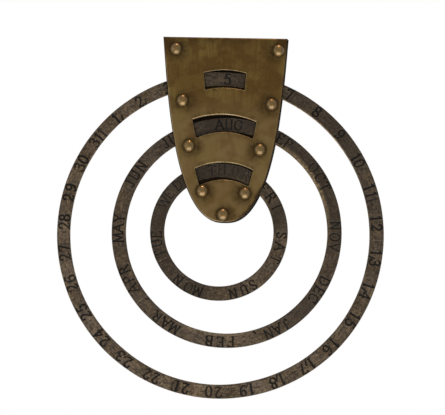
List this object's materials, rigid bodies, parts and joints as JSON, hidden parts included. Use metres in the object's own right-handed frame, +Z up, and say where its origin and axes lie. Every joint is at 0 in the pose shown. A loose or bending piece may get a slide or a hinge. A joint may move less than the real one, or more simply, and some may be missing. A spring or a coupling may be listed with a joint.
{
  "type": "perpetual wall calendar",
  "caption": "Wall-hung perpetual calendar: date, month and weekday rings turn behind the curved windows of a riveted shield-shaped plate.",
  "frame": {"origin": "centre of the keyhole's round entry hole, on the rear plate's rear face", "axes": "+Z up along the plate, -Y out of the front face with the windows, +X to the right as seen from the front"},
  "size_m": [0.2488, 0.012, 0.2747],
  "materials": {
    "plate_brass": "satin antique brass with a blotchy brown patina",
    "ring_bronze": "matte, dark brown oxidised, hammered, with worn edges and near-black stamped characters",
    "rivet_brass": "rubbed bright on the dome, dark round the rim"
  },
  "bodies": {
    "frame": {"front_plate": "plate_brass", "back_plate": "plate_brass", "top_spacer": "plate_brass", "upper_spacer": "plate_brass", "lower_spacer": "plate_brass", "tip_spacer": "plate_brass", "rivet_top_left": "rivet_brass", "rivet_top_right": "rivet_brass", "rivet_date_left": "rivet_brass", "rivet_date_right": "rivet_brass", "rivet_month_left": "rivet_brass", "rivet_month_right": "rivet_brass", "rivet_tip_left": "rivet_brass", "rivet_tip_right": "rivet_brass", "rivet_tip": "rivet_brass"},
    "date_ring": {"date_ring": "ring_bronze"},
    "month_ring": {"month_ring": "ring_bronze"},
    "weekday_ring": {"weekday_ring": "ring_bronze"}
  },
  "joints": [
    {"name": "date_ring_turn", "type": "hinge", "parent": "frame", "child": "date_ring", "pos_m": [-0.002, -0.0043, -0.1342], "axis": [0, 1, 0], "continuous": true},
    {"name": "month_ring_turn", "type": "hinge", "parent": "frame", "child": "month_ring", "pos_m": [0.0027, -0.0043, -0.1323], "axis": [0, 1, 0], "continuous": true},
    {"name": "weekday_ring_turn", "type": "hinge", "parent": "frame", "child": "weekday_ring", "pos_m": [-0.0032, -0.0043, -0.1316], "axis": [0, 1, 0], "continuous": true}
  ]
}
